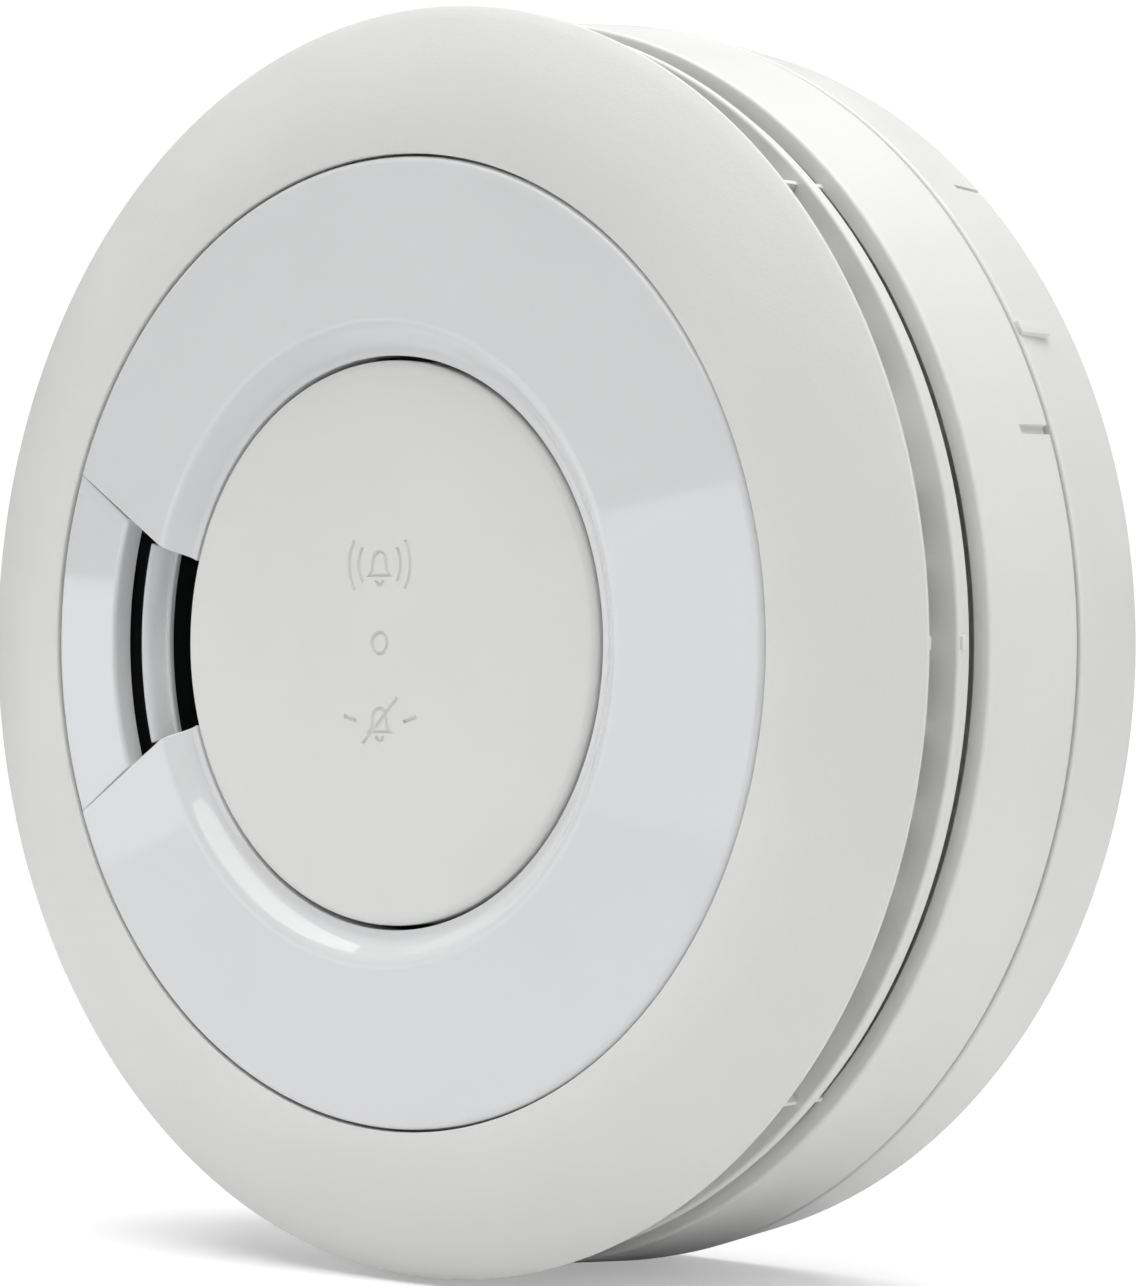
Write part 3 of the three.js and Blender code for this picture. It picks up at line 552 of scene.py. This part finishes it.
FOOT_D = (depth(-5.6), depth(-4.2))


def rear_housing():
    front, rear = depth(front_of("rear_housing")), HOUSING_REAR_D
    inner = rear - HOUSING_WALL
    corners = [(0, rear, 0), (HOUSING_BACK_R, rear, 0.4), (HOUSING_FRONT_R, front, 0.4)]
    corners += [(HOUSING_IN_R, front, 0.12), (HOUSING_IN_R, inner, 0.8), (0, inner, 0)]
    piece = revolve("rear_housing_fine", rounded(corners))
    screws = circle_points(SCREW_CIRCLE, SCREW_DEGREES)
    standoffs = circle_points(40, (60, 180, 320))
    hooks = []
    for deg in HOOK_DEGREES:
        span = (deg - HOOK_HALF, deg + HOOK_HALF)
        neck = (span[0] + 0.3, span[1] - 0.3)
        hooks.append(sector("neck", (47.8, 49.4), (rear - 0.5, depth(-4.6)), neck))
        hooks.append(sector("foot", HOOK_R, FOOT_D, span))
    piece = joined(
        piece,
        *hooks,
        rods("bosses", 3.6, (rear - 4.2, rear - 1.3), screws, 48, 0.2),
        rods("standoffs", 2, (19.4, rear - 1.3), standoffs, 32, 0.2),
    )
    notch = bar("notch", (57.1, HOUSING_BACK_R + 1), (21.2, rear + 1), 0.9, (18.45,), 0)
    return cut(
        piece,
        rods("counterbores", 3, (rear - 2, rear + 1), screws),
        rods("holes", 1.7, (rear - 6, rear), screws, 32),
        notch,
    )


SLOT_SIZE = (5, 12)  # along and across the radius
SLOT_CIRCLE = 30
SLOT_CORNER = 1.2
SLOT_DEGREES = (0, 90, 180, 270)


def slot_cutter(levels, deg):
    """A cutter for a screw slot; levels are (depth, extra) pairs that widen its mouths."""
    bm = bmesh.new()
    loops = []
    turn = math.radians(deg)
    for d, extra in levels:
        half_r, half_t = SLOT_SIZE[0] / 2 + extra, SLOT_SIZE[1] / 2 + extra
        loop = []
        for quarter in range(4):
            for k in range(7):
                angle = math.radians(90 * quarter + 15 * k)
                sign_r = 1 if quarter in (0, 3) else -1
                sign_t = 1 if quarter in (0, 1) else -1
                inset = sign_r * (half_r - SLOT_CORNER)
                radial = SLOT_CIRCLE + inset + SLOT_CORNER * math.cos(angle)
                tangent = sign_t * (half_t - SLOT_CORNER) + SLOT_CORNER * math.sin(angle)
                x = radial * math.cos(turn) - tangent * math.sin(turn)
                z = radial * math.sin(turn) + tangent * math.cos(turn)
                loop.append(bm.verts.new(Vector((x, FACE_Y + d, z)) * MM))
        loops.append(loop)
    skinned(bm, loops)
    return made("slot", bm)


ON_BACK = 1e-6  # metres; a vertex this close to the wall lies on the plate's back
SLIVER = 2e-6  # metres; edges shorter than this are dropped
FLAT = math.radians(0.2)


def without_slivers(piece):
    """Merges the slivers that the cuts left in the plate's flat back face."""
    bm = bmesh.new()
    bm.from_mesh(piece.data)

    def on_back(vert):
        return abs(vert.co.y) < ON_BACK

    def back_edges():
        return [edge for edge in bm.edges if all(map(on_back, edge.verts))]

    bmesh.ops.dissolve_degenerate(bm, dist=SLIVER, edges=back_edges())
    back = [vert for vert in bm.verts if on_back(vert)]
    bmesh.ops.dissolve_limit(bm, angle_limit=FLAT, verts=back, edges=back_edges())
    bm.to_mesh(piece.data)
    bm.free()
    piece.data.set_sharp_from_angle(angle=SHARP)
    return piece


BACK_GROOVES = (13, 45, 52)  # rings moulded into the plate's back
GROOVE_D = WALL_D - 0.4
WEB_D = depth(-2.4)  # front face of the plate's flat web
PLATE_IN_R = 55.6
PLATE_BACK_R = 57.0
COLLAR_R = (22.4, 24)
POST_AT = (36, 0)  # the post that drives the power slider
LEDGE_D = (depth(-8.4), depth(-6.2))
MARK_CIRCLE = 36
MARK_DEGREES = (45, 135, 225, 315)
PAST_BACK_D = WALL_D + 1  # cutters run past the back


def mounting_plate():
    corners = [(0, WALL_D, 0)]
    for r in BACK_GROOVES:
        corners += [(r - 0.5, WALL_D, 0), (r - 0.3, GROOVE_D, 0.1)]
        corners += [(r + 0.3, GROOVE_D, 0.1), (r + 0.5, WALL_D, 0)]
    inner, outer = COLLAR_R
    corners += [(PLATE_BACK_R, WALL_D, 0.6), (PLATE_R, PLATE_FRONT, 0.4)]
    corners += [(PLATE_IN_R, PLATE_FRONT, 0.25), (PLATE_IN_R, WEB_D, 0.6), (outer, WEB_D, 0.15)]
    corners += [(outer, WEB_D - 1, 0.25), (inner, WEB_D - 1, 0.25), (inner, WEB_D, 0.15)]
    corners += [(0, WEB_D, 0)]
    piece = revolve("mounting_plate_fine", rounded(corners))
    ledges = []
    for deg in HOOK_DEGREES:
        stop = (deg - HOOK_HALF - 1.9, deg - HOOK_HALF - 0.4)
        ledges.append(sector("ledge", (50, 56.4), LEDGE_D, (stop[0], deg + HOOK_HALF)))
        ledges.append(sector("stop", (50.2, 56.4), (depth(-8.2), WEB_D + 0.5), stop))
    rib_d = (PLATE_FRONT + 0.1, PLATE_FRONT + 4.4)
    rib = bar("rib", (55.8, PLATE_R + 0.35), rib_d, 1.3, (28.1,), 0.16)
    post = rods("post", 1.5, (26.2, WEB_D + 0.5), [POST_AT], 32, 0.2)
    piece = joined(piece, *ledges, post, rib)
    levels = [(WEB_D - 2, 0.2), (WEB_D, 0.2), (WEB_D + 0.6, 0)]
    levels += [(WALL_D - 0.6, 0), (WALL_D, 0.2), (PAST_BACK_D, 0.2)]
    slots = [slot_cutter(levels, deg) for deg in SLOT_DEGREES]
    centres = circle_points(MARK_CIRCLE, MARK_DEGREES)
    marks = rods("marks", 3, (WALL_D - 0.15, PAST_BACK_D), centres, 40)
    notch = bar("back_notch", (56.5, 60), (WALL_D - 4.4, PAST_BACK_D), 0.5, (45,), 0)
    return without_slivers(cut(piece, *slots, notch, marks))


# ---------------------------------------------------------------- materials
class Finish:
    """A Principled material with helpers for its procedural detail, in millimetres."""

    def __init__(self, name, colour, metallic=0.0):
        self.material = bpy.data.materials.new(name)
        self.material.use_nodes = True
        self.tree = self.material.node_tree
        self.shader = self.tree.nodes["Principled BSDF"]
        self.shader.inputs["Metallic"].default_value = metallic
        self.colour = colour
        self.coordinates = self.tree.nodes.new("ShaderNodeTexCoord").outputs["Object"]
        self.last_bump = None

    def stretched(self, scale):
        mapping = self.tree.nodes.new("ShaderNodeMapping")
        mapping.inputs["Scale"].default_value = scale
        self.tree.links.new(self.coordinates, mapping.inputs["Vector"])
        return mapping.outputs["Vector"]

    def noise(self, size, detail=3.0, stretch=None):
        """Noise with features of about that size."""
        node = self.tree.nodes.new("ShaderNodeTexNoise")
        node.inputs["Scale"].default_value = 1 / (size * MM)
        node.inputs["Detail"].default_value = detail
        source = self.stretched(stretch) if stretch else self.coordinates
        self.tree.links.new(source, node.inputs["Vector"])
        return node.outputs["Fac"]

    def ranged(self, value, low, high, start=0.3, stop=0.7):
        node = self.tree.nodes.new("ShaderNodeMapRange")
        node.inputs["From Min"].default_value = start
        node.inputs["From Max"].default_value = stop
        node.inputs["To Min"].default_value = low
        node.inputs["To Max"].default_value = high
        self.tree.links.new(value, node.inputs["Value"])
        return node.outputs["Result"]

    def mixed(self, factor, first, second):
        node = self.tree.nodes.new("ShaderNodeMix")
        node.data_type = "RGBA"
        self.tree.links.new(factor, node.inputs["Factor"])
        for socket, value in ((node.inputs["A"], first), (node.inputs["B"], second)):
            self.feed(socket, value)
        return node.outputs["Result"]

    def feed(self, socket, value):
        if isinstance(value, bpy.types.NodeSocket):
            self.tree.links.new(value, socket)
        elif isinstance(value, (tuple, list)):
            socket.default_value = (*value, 1)
        else:
            socket.default_value = value

    def tinted(self, factor):
        return tuple(min(1, c * factor) for c in self.colour)

    def bump(self, value, height, strength=1.0):
        """Bump from a value, with that height in millimetres."""
        node = self.tree.nodes.new("ShaderNodeBump")
        node.inputs["Strength"].default_value = strength
        node.inputs["Distance"].default_value = height * MM
        self.tree.links.new(value, node.inputs["Height"])
        if self.last_bump:
            self.tree.links.new(self.last_bump, node.inputs["Normal"])
        self.last_bump = node.outputs["Normal"]

    def done(self, colour, roughness):
        self.feed(self.shader.inputs["Base Color"], colour)
        self.feed(self.shader.inputs["Roughness"], roughness)
        if self.last_bump:
            self.tree.links.new(self.last_bump, self.shader.inputs["Normal"])
        return self.material


def moulded(name, colour, roughness, grain=0.28, height=0.012, tone=0.03):
    """Moulded plastic with a spark-eroded grain, slow colour drift and uneven gloss."""
    finish = Finish(name, colour)
    drift = finish.noise(22, 2)
    dark, light = finish.tinted(1 - tone), finish.tinted(1 + tone / 3)
    base = finish.mixed(finish.ranged(drift, 0, 1), dark, light)
    speckle = finish.noise(grain * 1.4, 2)
    base = finish.mixed(finish.ranged(speckle, 0.35, 0, 0.25, 0.6), base, dark)
    rough = finish.ranged(finish.noise(9, 3), roughness - 0.06, roughness + 0.06)
    finish.bump(finish.noise(grain, 4), height)
    finish.bump(finish.noise(30, 1), 0.02, 0.5)
    return finish.done(base, rough)


def polished(name, colour, roughness=0.04):
    """Polished plastic: slow colour drift, faint flow ripple and hairline marks."""
    finish = Finish(name, colour)
    drift = finish.noise(26, 2)
    base = finish.mixed(finish.ranged(drift, 0, 1), finish.tinted(0.985), finish.tinted(1.01))
    hairs = finish.noise(1.2, 2, (1, 1, 14))
    rough = finish.ranged(hairs, roughness * 0.8, roughness * 1.5)
    finish.bump(finish.noise(14, 1), 0.012, 0.6)
    finish.bump(finish.noise(0.5, 2), 0.0006)
    return finish.done(base, rough)


def metal(name, colour, roughness, stretch=(1, 18, 1), size=0.5):
    """Drawn or rolled metal with fine streaks and slightly tarnished patches."""
    finish = Finish(name, colour, metallic=1.0)
    streaks = finish.noise(size, 4, stretch)
    patches = finish.noise(4, 3)
    base = finish.mixed(finish.ranged(patches, 0, 1), finish.tinted(0.82), finish.tinted(1.08))
    finish.bump(streaks, 0.01)
    return finish.done(base, finish.ranged(streaks, roughness * 0.7, roughness * 1.4))


SCREEN_SCALE = 700
TRACK_SCALE = 220


def woven(name, colour):
    """Fine woven screen: a lattice of crossed wires."""
    finish = Finish(name, colour, metallic=1.0)
    waves = []
    for axis in ("X", "Y"):
        node = finish.tree.nodes.new("ShaderNodeTexWave")
        node.bands_direction = axis
        node.inputs["Scale"].default_value = SCREEN_SCALE
        finish.tree.links.new(finish.coordinates, node.inputs["Vector"])
        waves.append(node.outputs["Fac"])
    finish.bump(waves[0], 0.1)
    finish.bump(waves[1], 0.1)
    base = finish.mixed(waves[0], finish.tinted(0.35), finish.tinted(1.1))
    return finish.done(base, finish.ranged(waves[1], 0.3, 0.6, 0, 1))


def circuit(name, colour):
    """Solder mask over copper tracks."""
    finish = Finish(name, colour)
    tracks = finish.tree.nodes.new("ShaderNodeTexBrick")
    tracks.inputs["Scale"].default_value = TRACK_SCALE
    tracks.inputs["Mortar Size"].default_value = 0.03
    finish.tree.links.new(finish.coordinates, tracks.inputs["Vector"])
    base = finish.mixed(tracks.outputs["Fac"], finish.tinted(0.9), finish.tinted(1.9))
    finish.bump(tracks.outputs["Fac"], 0.03)
    return finish.done(base, finish.ranged(finish.noise(3), 0.28, 0.45))


def clear(name, colour):
    """Clear moulded plastic with faint flow marks."""
    finish = Finish(name, colour)
    finish.shader.inputs["Transmission Weight"].default_value = 0.85
    finish.shader.inputs["IOR"].default_value = 1.49
    finish.bump(finish.noise(2), 0.01)
    drift = finish.ranged(finish.noise(5), 0, 1)
    base = finish.mixed(drift, finish.tinted(0.95), finish.tinted(1.02))
    return finish.done(base, finish.ranged(finish.noise(1.5), 0.05, 0.14))


WHITE = (0.80, 0.80, 0.785)
BLACK = (0.02, 0.02, 0.022)


def finishes():
    return {
        "plate_white": moulded("matte_plate_white", WHITE, 0.5, 0.3, 0.01),
        "housing_white": moulded("matte_housing_white", WHITE, 0.5, 0.3, 0.01),
        "cover_white": moulded("grained_cover_white", WHITE, 0.48, 0.3, 0.016),
        "gloss_white": polished("polished_white", (0.80, 0.805, 0.81)),
        "button_white": moulded("satin_button_white", WHITE, 0.42, 0.22, 0.006, 0.02),
        "label_grey": moulded("label_film_grey", (0.66, 0.66, 0.65), 0.4, 0.15, 0.004),
        "spring_steel": metal("spring_wire_steel", (0.62, 0.62, 0.63), 0.25, (1, 1, 1), 0.2),
        # Black moulded plastic; on the horn duct this black is painted shade under the horn
        # mouth.
        "black_plastic": moulded("black_plastic_and_duct_shade", BLACK, 0.5, 0.3, 0.015, 0.2),
        "plunger_red": moulded("plunger_red_plastic", (0.55, 0.06, 0.03), 0.4, 0.2, 0.01, 0.1),
        "brass": metal("rolled_brass", (0.75, 0.55, 0.25), 0.28),
        "ceramic": moulded("silvered_ceramic", (0.60, 0.58, 0.52), 0.35, 0.1, 0.004, 0.08),
        "screen_steel": woven("woven_screen_steel", (0.5, 0.51, 0.53)),
        "dark_lens": polished("dark_clear_resin", (0.02, 0.012, 0.025), 0.05),
        "board_green": circuit("green_circuit_board", (0.02, 0.12, 0.05)),
        "tinned_steel": metal("tinned_steel_sheet", (0.68, 0.69, 0.7), 0.3),
        "capacitor_sleeve": polished("capacitor_shrink_sleeve", (0.03, 0.03, 0.05), 0.2),
        "coil_ferrite": moulded("ferrite_grey", (0.035, 0.035, 0.038), 0.6, 0.15, 0.03, 0.3),
        "led_red": polished("red_clear_resin", (0.5, 0.03, 0.02), 0.08),
        "clear_plastic": clear("clear_light_pipe", (0.86, 0.89, 0.9)),
        "cell_sleeve": polished("cell_shrink_sleeve", (0.05, 0.09, 0.16), 0.22),
        "slider_red": moulded("slider_red_plastic", (0.5, 0.05, 0.03), 0.42, 0.2, 0.01, 0.1),
        "screw_steel": metal("zinc_plated_steel", (0.6, 0.6, 0.62), 0.3),
    }


# ---------------------------------------------------------------- studio
CAMERA_TURN = math.radians(41.51)
CAMERA_FAR = 393.3  # along its line of sight
CAMERA_ASIDE = 16.5  # to its right from the middle of the front
LENS = 122.8
SENSOR = 36
# The studio below is in metres.
CLIP_START = 0.01
FLOOR_RADIUS = 0.36
FLOOR_DROP = 0.0002
FLOOR_COLOUR = (0.86, 0.86, 0.87)
FLOOR_ROUGHNESS = 0.9
FLOOR_GLOW = 0.35
WORLD_STRENGTH = 0.05
WORLD_SEEN_STRENGTH = 1.05
STRIP_STRENGTH = 1.7
STRIP_COLOUR = (0.97, 0.985, 1, 1)
STRIP_NEAR, STRIP_FAR = (-0.2, -1.5), (-1.7, -0.3)
STRIP_NEAR_TOP, STRIP_FAR_TOP, STRIP_BOTTOM = 0.2, -0.02, -0.6
LIGHTS = {  # place, size, power, and whether the gloss mirrors it
    "top_light": ((0.15, -0.13, 1.1), 1.7, 25.5, True),
    "left_light": ((-1.5, -0.8, 0.3), 1.0, 9, False),
    "right_light": ((1.3, 0.5, 0.1), 1.2, 4.5, True),
    "front_light": ((0.7, -1.6, 0.5), 1.2, 1, True),
}


def add_camera():
    right = Vector((math.cos(CAMERA_TURN), math.sin(CAMERA_TURN), 0))
    forward = Vector((-math.sin(CAMERA_TURN), math.cos(CAMERA_TURN), 0))
    camera = bpy.data.objects.new("camera", bpy.data.cameras.new("camera"))
    target = Vector((0, FACE_Y, 0)) + right * CAMERA_ASIDE
    camera.location = (target - forward * CAMERA_FAR) * MM
    camera.rotation_mode = "QUATERNION"
    camera.rotation_quaternion = forward.to_track_quat("-Z", "Y")
    camera.data.lens = LENS
    camera.data.sensor_width = SENSOR
    camera.data.clip_start = CLIP_START
    bpy.context.scene.collection.objects.link(camera)
    bpy.context.scene.camera = camera


def add_floor():
    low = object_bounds()[0].z
    bm = bmesh.new()
    bmesh.ops.create_circle(bm, cap_ends=True, segments=96, radius=FLOOR_RADIUS)
    bmesh.ops.translate(bm, vec=(0, 0, low - FLOOR_DROP), verts=bm.verts)
    floor = made("floor", bm)
    finish = Finish("floor_white", FLOOR_COLOUR)
    drift = finish.ranged(finish.noise(200), 0, 1)
    tone = finish.mixed(drift, finish.tinted(0.99), finish.tinted(1.0))
    material = finish.done(tone, FLOOR_ROUGHNESS)
    path = finish.tree.nodes.new("ShaderNodeLightPath")
    glow = finish.tree.nodes.new("ShaderNodeMath")
    glow.operation = "MULTIPLY"
    glow.inputs[1].default_value = FLOOR_GLOW
    finish.tree.links.new(path.outputs["Is Camera Ray"], glow.inputs[0])
    finish.tree.links.new(glow.outputs["Value"], finish.shader.inputs["Emission Strength"])
    finish.shader.inputs["Emission Color"].default_value = (1, 1, 1, 1)
    floor.data.materials.append(material)


def add_area(name, position, size, power, mirrored):
    """A square softbox aimed at the middle of the wall plate."""
    data = bpy.data.lights.new(name, "AREA")
    data.shape = "RECTANGLE"
    data.size = data.size_y = size
    data.energy = power
    light = bpy.data.objects.new(name, data)
    light.location = position
    light.rotation_mode = "QUATERNION"
    light.rotation_quaternion = (-Vector(position)).to_track_quat("-Z", "Y")
    light.visible_camera = False
    light.visible_glossy = mirrored
    bpy.context.scene.collection.objects.link(light)


def add_strip():
    """The long softbox whose mirror image crosses the polished disc."""
    corners = [(*STRIP_NEAR, STRIP_NEAR_TOP), (*STRIP_NEAR, STRIP_BOTTOM)]
    corners += [(*STRIP_FAR, STRIP_BOTTOM), (*STRIP_FAR, STRIP_FAR_TOP)]
    bm = bmesh.new()
    bm.faces.new([bm.verts.new(corner) for corner in corners])
    strip = made("strip_softbox", bm)
    material = bpy.data.materials.new("strip_light")
    material.use_nodes = True
    shader = material.node_tree.nodes["Principled BSDF"]
    shader.inputs["Base Color"].default_value = (0, 0, 0, 1)
    shader.inputs["Emission Color"].default_value = STRIP_COLOUR
    shader.inputs["Emission Strength"].default_value = STRIP_STRENGTH
    strip.data.materials.append(material)
    strip.visible_camera = False
    strip.visible_diffuse = False


def add_light():
    world = bpy.data.worlds.new("studio")
    bpy.context.scene.world = world
    world.use_nodes = True
    nodes, links = world.node_tree.nodes, world.node_tree.links
    seen = nodes.new("ShaderNodeBackground")
    seen.inputs["Strength"].default_value = WORLD_SEEN_STRENGTH
    path = nodes.new("ShaderNodeLightPath")
    mix = nodes.new("ShaderNodeMixShader")
    nodes["Background"].inputs["Color"].default_value = (1, 1, 1, 1)
    seen.inputs["Color"].default_value = (1, 1, 1, 1)
    nodes["Background"].inputs["Strength"].default_value = WORLD_STRENGTH
    links.new(path.outputs["Is Camera Ray"], mix.inputs["Fac"])
    links.new(nodes["Background"].outputs["Background"], mix.inputs[1])
    links.new(seen.outputs["Background"], mix.inputs[2])
    links.new(mix.outputs["Shader"], nodes["World Output"].inputs["Surface"])
    for name, settings in LIGHTS.items():
        add_area(name, *settings)
    add_strip()
    bpy.context.scene.view_settings.view_transform = "Standard"


# ---------------------------------------------------------------- assembly
REPLACED = {
    "front_cover": (front_cover, "head"),
    "trim_disc": (trim_disc, "head"),
    "horn_mouth": (horn_mouth, "head"),
    "horn_throat": (horn_throat, "head"),
    "horn_duct": (horn_duct, "head"),
    "inlet_ring": (inlet_ring, "head"),
    "rear_housing": (rear_housing, "head"),
    "test_button": (test_button, "button"),
    "button_spring": (button_spring, "head"),
    "mounting_plate": (mounting_plate, "plate"),
}


def dress(piece, material):
    piece.data.materials.clear()
    piece.data.materials.append(material)


def build():
    looks = finishes()
    slots = {part["node"]: part["material_slot"] for part in frame["record"]["subparts"]}
    for node, (maker, body) in REPLACED.items():
        piece = maker()
        dress(piece, looks[slots[node]])
        even = piece.modifiers.new("even_shading", "WEIGHTED_NORMAL")
        even.keep_sharp = True
        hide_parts(node)
        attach(piece, body)
        if node == "button_spring":
            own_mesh(piece)
    for node, piece in frame["nodes"].items():
        if node not in REPLACED:
            dress(piece, looks[slots[node]])


add_camera()
build()
add_floor()
add_light()
